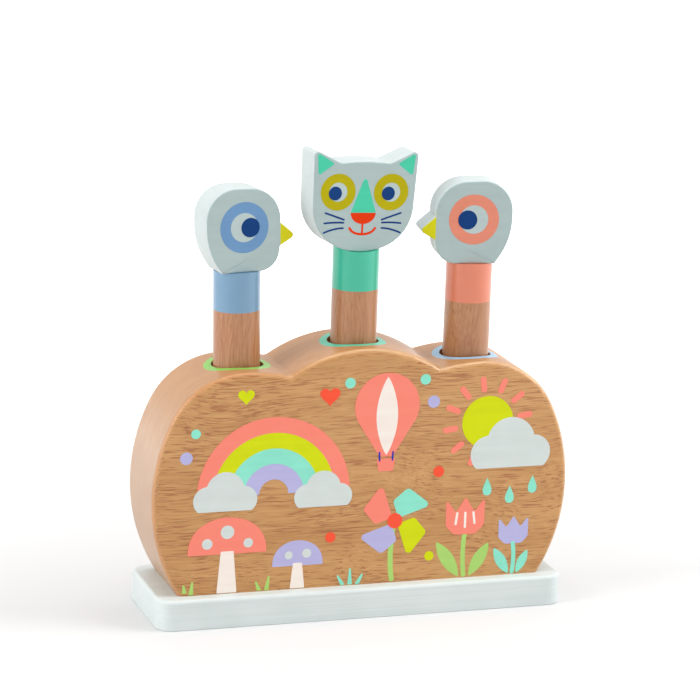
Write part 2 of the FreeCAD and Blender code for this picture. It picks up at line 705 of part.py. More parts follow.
# Heights that several pieces share.
SPRING_FOOT = "board_thickness + seat_gap"
PEG_FOOT = SPRING_FOOT + " + spring_height + seat_gap"
WASHER_FOOT = SPRING_FOOT + " + wire_diameter + seat_gap"
CHIN_SEAT = "(centre_peg_length - chin_radius + sqrt(chin_radius ^ 2 - (peg_diameter / 2) ^ 2))"
GUIDE_MIDDLE = "((%s) + hump_height) / 2" % PEG_FOOT

make_board()
make_block()

flat_screws = []
for number, (x_sign, y_sign) in enumerate(CORNER_SIGNS, start=1):
    x_rule = "%d * flat_spread_x / 2" % x_sign
    y_rule = "%d * flat_spread_y / 2" % y_sign
    flat_screws.append(make_flat_screw("flat_screw_%d" % number, x_rule, y_rule))
screw_set = doc.addObject("Part::Compound", "block_screws")
screw_set.Links = flat_screws
keep(screw_set, "block_screws")

for place, side, animal in (("left", -1, "bird"), ("centre", 0, "cat"), ("right", 1, "bird")):
    bore = "%d * bore_pitch" % side if side else "0"
    leaning = [moved(x=bore), turned("Y", place + "_lean", GUIDE_MIDDLE)]
    facing = turned("Z", place + "_turn")
    length = "centre_peg_length" if animal == "cat" else "side_peg_length"
    seat = PEG_FOOT + " + " + (CHIN_SEAT if animal == "cat" else length)

    spring = doc.addObject("Part::Feature", place + "_spring")
    spring.Shape = spring_shape()
    keep(spring, place + "_spring", moved(bore, SPRING_FOOT))
    keep(make_washer(place + "_spring_washer"), place + "_spring_washer", moved(bore, WASHER_FOOT))
    screw = make_pan_screw(place + "_spring_screw")
    keep(screw, place + "_spring_screw", moved(bore, WASHER_FOOT + " + washer_thickness"))

    peg = make_peg(place + "_peg", length, top_cut=animal == "cat")
    keep(peg, place + "_peg", *leaning, moved(z=PEG_FOOT), facing)
    if animal == "cat":
        head = make_cat_head("cat_head")
        keep(head, "cat_head", *leaning, moved(z=seat), facing, turned("Y", "cat_roll", "chin_radius"))
    else:
        head = make_bird_head(place + "_bird_head")
        about = [turned("Z", "180")] if side > 0 else []
        keep(head, place + "_bird_head", *leaning, moved(z=seat), facing, *about)
    dowel = make_dowel(place + "_head_dowel")
    keep(dowel, place + "_head_dowel", *leaning, moved(z=seat + " - dowel_in_peg"), facing)

doc.recompute()
for thing in doc.Objects:
    if "Invalid" in thing.State or "Error" in thing.State:
        raise RuntimeError("%s did not build: %s" % (thing.Name, thing.State))
for thing in subparts:
    if thing.Shape.isNull() or not thing.Shape.isValid():
        raise RuntimeError(thing.Label + " has no valid shape")

os.makedirs("parts", exist_ok=True)
for thing in subparts:
    thing.Shape.exportStep("parts/%s.step" % thing.Label)
    print("%-22s %10.1f mm3" % (thing.Label, thing.Shape.Volume))
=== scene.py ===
"""Pop-up animal toy: a printed wooden block on a white board, with three sprung peg figures."""

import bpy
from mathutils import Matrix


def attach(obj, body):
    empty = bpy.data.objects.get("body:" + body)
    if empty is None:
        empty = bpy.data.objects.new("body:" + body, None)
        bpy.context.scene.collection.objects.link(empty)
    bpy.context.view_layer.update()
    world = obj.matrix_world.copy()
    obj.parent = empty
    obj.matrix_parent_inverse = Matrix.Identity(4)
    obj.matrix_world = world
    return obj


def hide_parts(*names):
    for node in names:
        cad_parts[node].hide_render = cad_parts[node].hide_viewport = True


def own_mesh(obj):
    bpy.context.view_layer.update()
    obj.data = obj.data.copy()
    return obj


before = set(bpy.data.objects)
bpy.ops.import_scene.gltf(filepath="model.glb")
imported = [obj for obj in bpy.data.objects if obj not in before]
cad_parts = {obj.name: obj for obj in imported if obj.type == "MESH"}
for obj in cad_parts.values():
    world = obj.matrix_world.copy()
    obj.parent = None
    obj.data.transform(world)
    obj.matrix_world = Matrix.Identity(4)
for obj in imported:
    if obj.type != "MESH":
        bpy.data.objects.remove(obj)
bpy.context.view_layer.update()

import math

import bpy
import numpy as np
from mathutils import Matrix, Vector


# Base board: a plain softwood board under the block, corners rounded and the top edge rounded
# over, brushed with white water-based paint that lets the grain show a little.  Four screws
# come up through it into the block.
BOARD_PAINT = (224, 232, 231)
BOARD_BRUSHED = (215, 224, 223)
BRUSH_LINES = (9.0, 260.0, 900.0)


def shader_colour(levels):
    """Turn levels of 0 to 255, as read on a screen, into the linear values of a shader."""
    level = np.array(levels) / 255
    linear = np.where(level <= 0.04045, level / 12.92, ((level + 0.055) / 1.055) ** 2.4)
    return (*map(float, linear), 1.0)


def start_finish(name, roughness, **steady):
    """Start a finish as one shader and set its steady sockets."""
    finish = bpy.data.materials.new(name)
    finish.use_nodes = True
    surface = finish.node_tree.nodes["Principled BSDF"]
    surface.inputs["Roughness"].default_value = roughness
    for socket, value in steady.items():
        surface.inputs[socket.replace("_", " ")].default_value = value
    return finish


def add(finish, kind, *inputs, out=0, **settings):
    """Add a node, feed its inputs in order with sockets or plain values, and give one output."""
    made = finish.node_tree.nodes.new("ShaderNode" + kind)
    for key, value in settings.items():
        setattr(made, key, value)
    for place, value in enumerate(inputs):
        if isinstance(value, bpy.types.NodeSocket):
            finish.node_tree.links.new(value, made.inputs[place])
        elif value is not None:
            made.inputs[place].default_value = value
    return made.outputs[out]


def feed(finish, socket, value):
    """Link a value into a socket of the finish's shader."""
    finish.node_tree.links.new(value, finish.node_tree.nodes["Principled BSDF"].inputs[socket])


def sums(finish, operation, first, second=0.0, third=0.0):
    """Work out one Math node."""
    return add(finish, "Math", first, second, third, operation=operation)


def from_to(finish, share, low, high):
    """Give low where a share is 0 and high where it is 1, and the straight line between them."""
    return sums(finish, "MULTIPLY_ADD", share, high - low, low)


def weighed(finish, first, second, share=0.5):
    """Average two values, of which the first has this share."""
    return sums(finish, "MULTIPLY_ADD", first, share, sums(finish, "MULTIPLY", second, 1 - share))


def own_place(finish):
    """Give the point's place on the piece, in metres."""
    return add(finish, "TexCoord", out="Object")


def mottle(finish, place, size, detail=2.0, roughness=0.5):
    """Give cloudy noise from 0 to 1 whose lumps are about this many metres across."""
    return add(finish, "TexNoise", place, None, 1 / size, detail, roughness)


def drawn_noise(finish, place, per_metre, detail=3.0, roughness=0.5):
    """Give noise from 0 to 1 drawn out along some axes: so many lumps to the metre along each."""
    return mottle(finish, add(finish, "Mapping", place, None, None, per_metre), 1.0, detail, roughness)


def between(finish, value, low, high):
    """Stretch the part of a value from low to high over 0 to 1, with soft ends."""
    return add(finish, "MapRange", value, low, high, 0.0, 1.0, interpolation_type="SMOOTHSTEP")


def blend_colours(finish, share, first, second):
    """Mix two colours, each a socket or screen levels, by a share from 0 to 1."""
    pair = (shader_colour(tone) if isinstance(tone, tuple) else tone for tone in (first, second))
    return add(finish, "MixRGB", share, *pair)


def two_tones(finish, pattern, first, second, spread=0.2):
    """Go from one colour to another as a pattern rises through a half, over a spread each way."""
    return blend_colours(finish, between(finish, pattern, 0.5 - spread, 0.5 + spread), first, second)


def vary_roughness(finish, pattern, low, high):
    """Let the roughness follow a pattern, from low where it is 0 to high where it is 1."""
    feed(finish, "Roughness", from_to(finish, pattern, low, high))


def raise_bumps(finish, height, distance):
    """Tilt the shading as if the height, from 0 to 1, stood this many metres proud."""
    tilted = add(finish, "Bump")
    tilted.node.inputs["Distance"].default_value = distance
    finish.node_tree.links.new(height, tilted.node.inputs["Height"])
    feed(finish, "Normal", tilted)


def dress(finish, *nodes):
    """Give CAD pieces a finish in each of their material slots."""
    for node in nodes:
        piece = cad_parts[node]
        for number in range(len(piece.material_slots)):
            piece.material_slots[number].material = finish


def brushed_paint(name):
    """Satin paint on wood: brush lines along the grain, a faint mottle and small raised hairs."""
    finish = start_finish(name, roughness=0.42, Specular_IOR_Level=0.3)
    place = own_place(finish)
    lines = drawn_noise(finish, place, BRUSH_LINES)
    tone = weighed(finish, lines, mottle(finish, place, size=0.03), share=0.55)
    feed(finish, "Base Color", two_tones(finish, tone, BOARD_BRUSHED, BOARD_PAINT, spread=0.15))
    vary_roughness(finish, lines, low=0.34, high=0.50)
    raise_bumps(finish, lines, distance=0.00005)
    return finish


dress(brushed_paint("white_board_paint"), "base_board")


# Screws: zinc-plated steel, pressed and rolled.  Four countersunk ones hold the block on the board
# from below, and a pan-head one with a washer holds each spring's small end turn.
SIDES = ("left", "centre", "right")
ZINC = (196, 198, 200)
WARM_CAST = (1.0, 0.97, 0.88)
TURNING_MARKS = (300.0, 300.0, 9000.0)


def plated_steel(name, shade, roughness):
    """Bright metal with fine turning marks square to Z and a slight warm cast in patches."""
    finish = start_finish(name, roughness, Metallic=1.0)
    place = own_place(finish)
    warm = tuple(level * change for level, change in zip(shade, WARM_CAST))
    feed(finish, "Base Color", blend_colours(finish, mottle(finish, place, size=0.004), shade, warm))
    marks = drawn_noise(finish, place, TURNING_MARKS, detail=2.0)
    vary_roughness(finish, marks, low=roughness - 0.1, high=roughness + 0.1)
    raise_bumps(finish, marks, distance=0.00001)
    return finish


zinc = plated_steel("zinc_plating", ZINC, roughness=0.34)
dress(zinc, "block_screws")
for side in SIDES:
    dress(zinc, side + "_spring_washer", side + "_spring_screw")


# Block: one thick piece of pale tropical hardwood, bandsawn to three humps, its long edges rounded
# over, sanded and lacquered.  The grain runs along it, full of short dark pores on the flat faces,
# and a painted ring goes round the mouth of each bore.  Its sawn edge is painted paler low down as
# light bounced up from the board, and its rim carries a painted highlight towards the right.
BORE_PITCH = 0.064
BORES = dict(zip(SIDES, (-BORE_PITCH, 0.0, BORE_PITCH)))
BORE_RADIUS = 0.014
RING_RADIUS = 0.018
RING_CLEAR_OF_BORE = 0.00003
RINGS_ABOVE = 0.12
RING_PAINTS = {"left": (140, 208, 88), "centre": (84, 208, 172), "right": (160, 203, 232)}
# distances of the flat faces and of the start of their rounded edges from the block's middle
FACE = 0.0265
FLAT_FROM = 0.0252
RIM_FROM = 0.0235
RIM_TO = 0.0255
SAW_MARKS = (60.0, 420.0, 60.0)
# tones of the face, and of the sawn edge low and high on the block, the low ones paler as painted
# light bounced up from the board
FACE_TONES = ((210, 158, 99), (190, 135, 76))
SAWN_PALE_WITH_BOUNCE = ((192, 162, 138), (195, 141, 94))
SAWN_DEEP_WITH_BOUNCE = ((184, 151, 125), (186, 130, 82))
BOUNCE_FULL_BELOW, BOUNCE_GONE_ABOVE = 0.08, 0.15
# the rim's own orange at the left, and a painted cream highlight at the right where light falls on it, and
# the span across the block over which the one turns to the other
RIM_TONE_AND_HIGHLIGHT = ((208, 142, 80), (232, 190, 140))
RIM_HIGHLIGHT_FROM, RIM_HIGHLIGHT_TO = -0.08, 0.02
FACE_PORE = (152, 78, 36)
GRAIN_BEND = 0.03
PORE_LEVEL = {"bare": 0.67, "patch": 0.41}
PORE_SHARPNESS = 9.0
# how strongly the pores show on the sawn edge and on the face, the rim band with its painted
# highlight, and the face's grain on the sawn edge, each as a share
PORE_STRENGTH = (0.1, 0.64)
RIM_STRENGTH = 0.7
GRAIN_ON_EDGE = 0.28


def timber(name, along, tones, roughness, gloss=0.4):
    """Timber with its grain along one axis: give its finish, plain colour, pores and streaks.

    Slow noise bends the lines.  Noise drawn out along the grain gives broad bands, fine streaks and,
    where it is highest, short dark pores, which come in patches.
    """
    finish = start_finish(name, roughness, Specular_IOR_Level=gloss)

    def lines(place, lengthwise, crosswise, detail, noise_roughness=0.5):
        """Noise with so many lumps to the metre along the grain and across it."""
        per_metre = tuple(lengthwise if axis == along else crosswise for axis in "XYZ")
        return drawn_noise(finish, place, per_metre, detail, noise_roughness)

    place = own_place(finish)
    shift = from_to(finish, lines(place, 9.0, 16.0, detail=1.5), -GRAIN_BEND / 2, GRAIN_BEND / 2)
    offset = add(finish, "CombineXYZ", *(0.0 if axis == along else shift for axis in "XYZ"))
    bent = add(finish, "VectorMath", place, offset, operation="ADD")
    bands = lines(bent, 4.0, 60.0, detail=3.0, noise_roughness=0.55)
    streaks = lines(bent, 28.0, 900.0, detail=3.0, noise_roughness=0.6)
    patches = lines(bent, 16.0, 75.0, detail=1.0)
    grooves = lines(bent, 70.0, 1500.0, detail=2.0)
    level = from_to(finish, patches, PORE_LEVEL["bare"], PORE_LEVEL["patch"])
    over = sums(finish, "SUBTRACT", grooves, level)
    pores = add(finish, "Clamp", sums(finish, "MULTIPLY", over, PORE_SHARPNESS))
    light, dark = tones
    plain = two_tones(finish, weighed(finish, bands, streaks), dark, light, spread=0.16)
    return finish, plain, pores, streaks


def bore_ring(finish, spot, middle):
    """Give 1 on the painted ring round one bore's mouth and 0 elsewhere."""
    across = sums(finish, "SUBTRACT", spot["X"], middle)
    level_place = add(finish, "CombineXYZ", across, spot["Y"], 0.0)
    reach = add(finish, "VectorMath", level_place, operation="LENGTH", out="Value")
    within = sums(finish, "LESS_THAN", reach, RING_RADIUS)
    beyond = sums(finish, "GREATER_THAN", reach, BORE_RADIUS + RING_CLEAR_OF_BORE)
    above = sums(finish, "GREATER_THAN", spot["Z"], RINGS_ABOVE)
    return sums(finish, "MULTIPLY", sums(finish, "MULTIPLY", within, beyond), above)


def lacquered_block(name):
    """Timber with open pores on its faces, paler sawn fibres round its outline with painted bounce light
    low down, and a rim with a painted highlight at the right.
    """
    finish, plain, pores, streaks = timber(name, "X", FACE_TONES, roughness=0.42, gloss=0.55)
    place = own_place(finish)
    spot = add(finish, "SeparateXYZ", place).node.outputs
    depth = sums(finish, "ABSOLUTE", spot["Y"])
    flat = between(finish, depth, FLAT_FROM, FACE)
    # painted bounce light: the sawn edge is paler low down and takes its high tones between these heights
    high = between(finish, spot["Z"], BOUNCE_FULL_BELOW, BOUNCE_GONE_ABOVE)
    pale, deep = (blend_colours(finish, high, *tones) for tones in (SAWN_PALE_WITH_BOUNCE, SAWN_DEEP_WITH_BOUNCE))
    sawn = two_tones(finish, drawn_noise(finish, place, SAW_MARKS, detail=2.0), pale, deep)
    plain = blend_colours(finish, from_to(finish, flat, GRAIN_ON_EDGE, 1.0), sawn, plain)
    # painted highlight: the rounded rim is its own band, orange at the left and turning to a pale cream
    # towards the right
    rim = sums(finish, "SUBTRACT", between(finish, depth, RIM_FROM, RIM_TO), flat)
    rim_tone_and_highlight = blend_colours(finish, between(finish, spot["X"], RIM_HIGHLIGHT_FROM, RIM_HIGHLIGHT_TO), *RIM_TONE_AND_HIGHLIGHT)
    plain = blend_colours(finish, sums(finish, "MULTIPLY", rim, RIM_STRENGTH), plain, rim_tone_and_highlight)
    shown = sums(finish, "MULTIPLY", pores, from_to(finish, flat, *PORE_STRENGTH))
    wood = blend_colours(finish, shown, plain, FACE_PORE)
    for side, middle in BORES.items():
        wood = blend_colours(finish, bore_ring(finish, spot, middle), wood, RING_PAINTS[side])
    feed(finish, "Base Color", wood)
    vary_roughness(finish, streaks, low=0.24, high=0.42)
    raise_bumps(finish, sums(finish, "SUBTRACT", 1.0, pores), distance=0.00008)
    return finish


dress(lacquered_block("lacquered_hardwood"), "block")


# Print: screen inks laid on the sanded front of the block one colour after another, a garden of
# simple shapes.  Each ink is a thin film that shows the wood's grain only as a faint relief.
MILLIMETRE = 0.001
FILM_BACK = 0.2
FILM_STEP = 0.001
INK_GRAIN = (18.0, 18.0, 320.0)


def disc(u, v, radius, count=72):
    """Circle: the radius turned evenly about the middle."""
    turn = np.linspace(0, 2 * np.pi, count, endpoint=False)
    return np.stack([u + radius * np.cos(turn), v + radius * np.sin(turn)], 1)


def turned(outline, degrees):
    """Outline turned about the origin."""
    c, s = math.cos(math.radians(degrees)), math.sin(math.radians(degrees))
    return np.asarray(outline, float) @ np.array([[c, s], [-s, c]])


def bow(u, v, outer, inner):
    """Upper half of a round band: an outer arc one way, then an inner arc back."""
    turn = np.linspace(0, np.pi, 96)
    ring = np.stack([np.cos(turn), np.sin(turn)], 1)
    return np.concatenate([outer * ring, inner * ring[::-1]]) + (u, v)


def rounded(corners, radius, count=8):
    """Polygon with round corners: at each corner an arc tangent to both its sides."""
    corners = np.asarray(corners, float)
    before = np.roll(corners, 1, 0) - corners
    after = np.roll(corners, -1, 0) - corners
    before /= np.linalg.norm(before, axis=1, keepdims=True)
    after /= np.linalg.norm(after, axis=1, keepdims=True)
    half = np.arccos(np.clip((before * after).sum(1), -1, 1)) / 2
    middle = before + after
    middle /= np.linalg.norm(middle, axis=1, keepdims=True)
    radii = np.broadcast_to(np.asarray(radius, float), half.shape)
    centres = corners + middle * (radii / np.sin(half))[:, None]
    start = corners + before * (radii / np.tan(half))[:, None] - centres
    end = corners + after * (radii / np.tan(half))[:, None] - centres
    share = np.linspace(0, 1, count)[None, :, None]
    swing = (np.pi - 2 * half)[:, None, None]
    arcs = np.sin((1 - share) * swing) * start[:, None] + np.sin(share * swing) * end[:, None]
    return (centres[:, None] + arcs / np.sin(swing)).reshape(-1, 2)


def stroke(points, width):
    """Line of even width with round ends along a few points joined by a smooth curve."""
    points = np.asarray(points, float)
    knots = np.linspace(0, 1, len(points))
    fine = np.linspace(0, 1, 24)
    power = np.vander(knots, len(points), increasing=True)
    curve = np.vander(fine, len(points), increasing=True) @ np.linalg.solve(power, points)
    way = np.gradient(curve, axis=0)
    way /= np.linalg.norm(way, axis=1, keepdims=True)
    side = np.stack([-way[:, 1], way[:, 0]], 1) * width / 2
    turn = np.linspace(0, np.pi, 8)[1:-1, None]
    tail = curve[0] + side[0] * np.cos(turn) - way[0] * width / 2 * np.sin(turn)
    tip = curve[-1] - side[-1] * np.cos(turn) + way[-1] * width / 2 * np.sin(turn)
    return np.concatenate([curve - side, tip, (curve + side)[::-1], tail])


def puffs(u, v, circles, floor):
    """Cloud: seen from its middle, the farthest reach of any of its circles, cut level below."""
    turn = np.linspace(0, 2 * np.pi, 400, endpoint=False)
    way = np.stack([np.cos(turn), np.sin(turn)], 1)
    reach = np.zeros(len(turn))
    for x, y, radius in circles:
        along = way @ (x, y)
        inside = along ** 2 - x * x - y * y + radius ** 2
        reach = np.maximum(reach, np.where(inside > 0, along + np.sqrt(np.maximum(inside, 0)), 0))
    down = np.divide(floor, way[:, 1], out=np.full(len(turn), np.inf), where=way[:, 1] < 0)
    return way * np.minimum(reach, down)[:, None] + (u, v)


def heart(u, v, size):
    """Heart: the sine cubed across, and four cosines up, 32 wide before it is brought to size."""
    turn = np.linspace(0, 2 * np.pi, 72, endpoint=False)
    across = 16 * np.sin(turn) ** 3
    up = 13 * np.cos(turn) - 5 * np.cos(2 * turn) - 2 * np.cos(3 * turn) - np.cos(4 * turn)
    return np.stack([across, up], 1) * size / 32 + (u, v)


def drop(u, v, size):
    """Rain drop: a round foot drawn up to a point by a cosine."""
    turn = np.linspace(0, 2 * np.pi, 48, endpoint=False)
    narrow = np.sin(turn) * np.sin(turn / 2) ** 1.5
    return np.stack([u + size * 0.72 * narrow, v + size * np.cos(turn)], 1)


def grass(u, v, lean, high):
    """Blade of grass: a narrow triangle with a rounded tip."""
    return rounded([(u - 1.3, v), (u + 1.3, v), (u + lean, v + high)], (0.1, 0.1, 0.5))


def cap(u, v, wide, high):
    """Mushroom cap: the upper half of an ellipse, swollen a little, with a level foot."""
    turn = np.linspace(0, np.pi, 72)
    return np.stack([wide / 2 * np.cos(turn), high * np.sin(turn) ** 0.82], 1) + (u, v)


def tulip(u, v, wide, high):
    """Tulip head: a round cup with three points, drawn 1 wide and high, its radii for one 18 wide."""
    foot = [(-0.5, 1.0), (-0.5, 0.25), (-0.28, 0.0), (0.28, 0.0), (0.5, 0.25), (0.5, 1.0)]
    points = [(0.24, 0.62), (0.0, 1.04), (-0.24, 0.62)]
    radii = np.array([0.6, 3.2, 3.2, 3.2, 3.2, 0.6, 0.7, 0.6, 0.7]) * wide / 18
    return rounded(np.array(foot + points) * (wide, high) + (u, v), radii)


def leaf(u, v, long, wide, lean):
    """Leaf: two equal arcs that meet at the foot and at the tip, leaning from upright."""
    share = np.linspace(0, 1, 24)
    side = wide / 2 * np.sin(np.pi * share) ** 0.8
    back = np.stack([-side, long * share], 1)[-2:0:-1]
    return turned(np.concatenate([np.stack([side, long * share], 1), back]), lean) + (u, v)


def balloon(u, v, radius):
    """Balloon: a round top that tapers straight to a narrow mouth."""
    turn = np.radians(np.linspace(-28, 208, 80))
    top = radius * np.stack([np.cos(turn), np.sin(turn)], 1)
    return np.concatenate([top, [(-0.2 * radius, -1.55 * radius), (0.2 * radius, -1.55 * radius)]]) + (u, v)


def ink_finish(name, shade):
    """Flat ink or paint: one colour with a little clouding, and the grain as faint relief."""
    finish = start_finish("ink_" + name, roughness=0.5, Specular_IOR_Level=0.12)
    place = own_place(finish)
    grain = drawn_noise(finish, place, INK_GRAIN)
    pale = tuple(min(255, level * 1.02 + 2) for level in shade)
    tone = weighed(finish, grain, mottle(finish, place, size=0.012), share=0.6)
    feed(finish, "Base Color", two_tones(finish, tone, shade, pale))
    vary_roughness(finish, grain, low=0.42, high=0.56)
    raise_bumps(finish, grain, distance=0.00002)
    return finish


def make_piece(name, vertices, faces, finish):
    """Make a mesh of whole arrays of points and faces in one finish, and put it in the scene."""
    mesh = bpy.data.meshes.new(name)
    mesh.from_pydata(vertices.tolist(), [], faces)
    mesh.materials.append(finish)
    piece = bpy.data.objects.new(name, mesh)
    bpy.context.scene.collection.objects.link(piece)
    return piece


def lay_film(name, body, finish, outlines, seat, lift):
    """Lay a film on an upright face: each outline, in millimetres, as a closed thin plate.

    A point (u, v) of the face lies u along X and v up Z from the seat's own origin, and the face
    looks along the seat's -Y.  The plate runs from the lift in front of the face to a little behind,
    and each outline lies a hair above the one before, so none share a plane where they cross.
    """
    turn = np.array(seat.to_3x3())
    vertices, faces = [], []
    for number, outline in enumerate(outlines):
        u, v = np.asarray(outline, float).T
        if (u * np.roll(v, -1) - v * np.roll(u, -1)).sum() < 0:
            u, v = u[::-1], v[::-1]
        count, first = len(u), sum(map(len, vertices))
        for depth in (-lift - FILM_STEP * number, FILM_BACK):
            flat = MILLIMETRE * np.stack([u, np.full(count, depth), v], 1)
            vertices.append(flat @ turn.T + np.array(seat.translation))
        front = np.arange(first, first + count)
        back = front + count
        faces.append(front.tolist())
        faces.append(back[::-1].tolist())
        faces += np.stack([np.roll(front, -1), front, back, np.roll(back, -1)], 1).tolist()
    piece = make_piece(name, np.concatenate(vertices), faces, finish)
    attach(piece, body)


# Each ink's colour and how far its film stands proud, in millimetres, in the order of printing.
INKS = {
    "lime": ((174, 216, 116), 0.04),
    "lavender": ((186, 183, 226), 0.07),
    "mint": ((144, 231, 206), 0.1),
    "chartreuse": ((213, 222, 18), 0.13),
    "coral": ((255, 139, 121), 0.16),
    "grey": ((214, 222, 219), 0.19),
    "cream": ((252, 238, 228), 0.22),
    "blue": ((32, 54, 172), 0.25),
    "red": ((252, 88, 60), 0.28),
}
# The drawing, in millimetres: across from the block's middle, and up from the floor.
prints = {ink: [] for ink in INKS}
# rainbow with a cloud at each foot
RAINBOW_TOP = 42.0
RAINBOW_BAND = 8.5
PUFFS = np.array([(-9, 0, 8.0), (0.5, 5, 10.5), (10.5, 0, 7.5), (0, -2, 8)])
for number, ink in enumerate(("coral", "chartreuse", "mint", "lavender")):
    outer = RAINBOW_TOP - RAINBOW_BAND * number
    prints[ink].append(bow(-50, 70, outer, outer - RAINBOW_BAND))
prints["grey"] += [puffs(-77, 68, PUFFS, -6.0), puffs(-23, 67, PUFFS * 0.92, -5.5)]
# striped balloon with its basket
prints["coral"] += [balloon(12, 115, 18), rounded([(8, 79), (16, 79), (17.2, 86), (6.8, 86)], 1.0)]
prints["cream"].append(leaf(12, 88, 43, 12, lean=0))
prints["mint"] += [disc(-9, 128.5, 2.9), disc(33, 128.5, 2.9)]
prints["blue"] += [stroke([(8.4, 85.0), (8.2, 89.5)], 0.9), stroke([(15.6, 85.0), (15.8, 89.5)], 0.9)]
# sun and a rain cloud
SUN = (69, 103)
RAY = stroke([(18.5, 0), (24.0, 0)], 3.2)
prints["chartreuse"].append(disc(*SUN, 14.5, 96))
prints["coral"] += [turned(RAY, 30 * number + 8) + SUN for number in range(12)]
prints["grey"].append(puffs(82, 85, PUFFS * 1.3, -7.8))
prints["mint"] += [drop(70, 67, 5.0), drop(83, 62, 5.0), drop(96, 67, 5.0)]
# windmill on a stick
HUB = (18, 51)
SAIL = rounded([(2.2, 0.8), (22.0, 0.8), (12.5, 15.0), (2.2, 11.0)], (0.5, 2.0, 2.4, 2.0))
for number, ink in enumerate(("mint", "coral", "lavender", "chartreuse")):
    prints[ink].append(turned(SAIL, 90 * number + 18) + HUB)
prints["lime"].append(stroke([(17.2, 47), (16.0, 32), (17.0, 18.4)], 2.8))
prints["red"].append(disc(*HUB, 4.2))
# mushrooms
prints["cream"] += [
    rounded([(-80.5, 17), (-69.5, 17), (-71.5, 40), (-78.5, 40)], 0.4),
    rounded([(-40, 17), (-32, 17), (-33.5, 31), (-38.5, 31)], 0.4),
]
prints["coral"].append(cap(-75, 38.5, 43, 20))
prints["lavender"].append(cap(-36, 29.5, 28, 14))
SPOTS = ((-86, 44.5, 2.9), (-75, 50.5, 3.7), (-63.5, 44, 2.6), (-41, 35.5, 2.2), (-31, 36, 2.5))
prints["grey"] += [disc(*spot) for spot in SPOTS]
# tulips
prints["lime"].append(stroke([(58, 18.2), (57.3, 30), (58, 41)], 2.6))
prints["lime"] += [leaf(55, 17.3, 24, 7.5, 33), leaf(61, 17.3, 21, 7, -31)]
prints["mint"].append(stroke([(86, 18), (86.6, 26), (86, 34)], 2.4))
prints["mint"] += [leaf(83.6, 17.3, 17, 6, 30), leaf(88.4, 17.3, 14, 5, -26)]
prints["coral"].append(tulip(58, 41, 22, 20))
prints["lavender"].append(tulip(86, 34, 17, 15))
VEINS = ([(52.6, 47), (53.4, 53)], [(58, 45), (58, 53)], [(63.4, 47), (62.6, 53)])
prints["cream"] += [stroke(vein, 1.3) for vein in VEINS]
# grass, hearts and dots
prints["mint"] += [grass(-10.5, 17, -5, 9), grass(-6.5, 17, 0, 14), grass(-2.5, 17, 5, 9)]
prints["lime"] += [grass(-98, 18, -1, 7), grass(-94.5, 17, 1, 11)]
prints["lime"] += [grass(-57, 17, -3, 8), grass(-53, 17, 2, 12)]
prints["red"] += [heart(-20, 122, 11), disc(-18, 44, 2.8), disc(42, 77, 3.0)]
prints["lavender"] += [disc(-98, 92, 3.4), disc(38, 116, 3.4)]
prints["mint"] += [disc(-93, 105, 2.6), disc(103, 84, 2.2)]
prints["chartreuse"] += [heart(-66, 124, 9), disc(38, 30, 2.6)]

front = Matrix.Translation((0.0, -FACE, 0.0))
for ink, (shade, lift) in INKS.items():
    lay_film("print_" + ink, "block", ink_finish(ink, shade), prints[ink], front, lift)


# Springs: hard-drawn steel wire, one in each bore, coiled with a small flat turn that the screw and
# washer hold to the board.  The peg stands on the top turn, and the real spring squashes as it is
# pressed; this one keeps its free height and rides with the block.
SPRING_STEEL = (168, 170, 174)
FOOT = 0.01685
HEIGHT = 0.0645
WIRE = 0.0012
FLAT_TURN_RADIUS = 0.0055
COIL_RADIUS = 0.011
TURNS = 9
RAMP = 0.25
CLOSING_PITCH = 0.0017
STEPS_PER_TURN = 48
WIRE_POINTS = 12


def spring_line(turns):
    """Middle of the wire: a spiral whose radius grows over the first turn, then stays.

    Its height stays flat in that turn, rises steadily over the middle turns and nearly stops in the
    last.  The pitch changes over a ramp of part of a turn, and its area is the spring's free height.
    """
    radius = FLAT_TURN_RADIUS + (COIL_RADIUS - FLAT_TURN_RADIUS) * np.clip(turns, 0, 1)
    steady = (HEIGHT - WIRE - CLOSING_PITCH * (1 + RAMP / 2)) / (TURNS - 2 - RAMP)
    changes = [0, 1, 1 + RAMP, TURNS - 1 - RAMP, TURNS - 1, TURNS]
    pitch = np.interp(turns, changes, [0, 0, steady, steady, CLOSING_PITCH, CLOSING_PITCH])
    step = turns[1] - turns[0]
    height = WIRE / 2 + np.concatenate([[0], np.cumsum((pitch[1:] + pitch[:-1]) / 2 * step)])
    angle = 2 * np.pi * turns
    return np.stack([radius * np.cos(angle), radius * np.sin(angle), height], 1)


def wind_spring(name, middle, finish):
    """Tube along the wire's middle line, a ring of points square to it at each step, ends closed."""
    line = spring_line(np.linspace(0, TURNS, TURNS * STEPS_PER_TURN + 1))
    way = np.gradient(line, axis=0)
    way /= np.linalg.norm(way, axis=1, keepdims=True)
    side = np.cross(way, (0, 0, 1))
    side /= np.linalg.norm(side, axis=1, keepdims=True)
    up = np.cross(side, way)
    turn = np.linspace(0, 2 * np.pi, WIRE_POINTS, endpoint=False)[None, :, None]
    ring = WIRE / 2 * (np.cos(turn) * side[:, None] + np.sin(turn) * up[:, None])
    vertices = (line[:, None] + ring + (middle, 0, FOOT)).reshape(-1, 3)
    here = np.arange(len(line) - 1)[:, None] * WIRE_POINTS + np.arange(WIRE_POINTS)
    beside = np.roll(here, -1, 1)
    faces = np.stack([here, beside, beside + WIRE_POINTS, here + WIRE_POINTS], 2).reshape(-1, 4).tolist()
    faces.append(list(range(WIRE_POINTS - 1, -1, -1)))
    faces.append(list(range(len(vertices) - WIRE_POINTS, len(vertices))))
    piece = make_piece(name, vertices, faces, finish)
    piece.data.shade_smooth()
    return piece


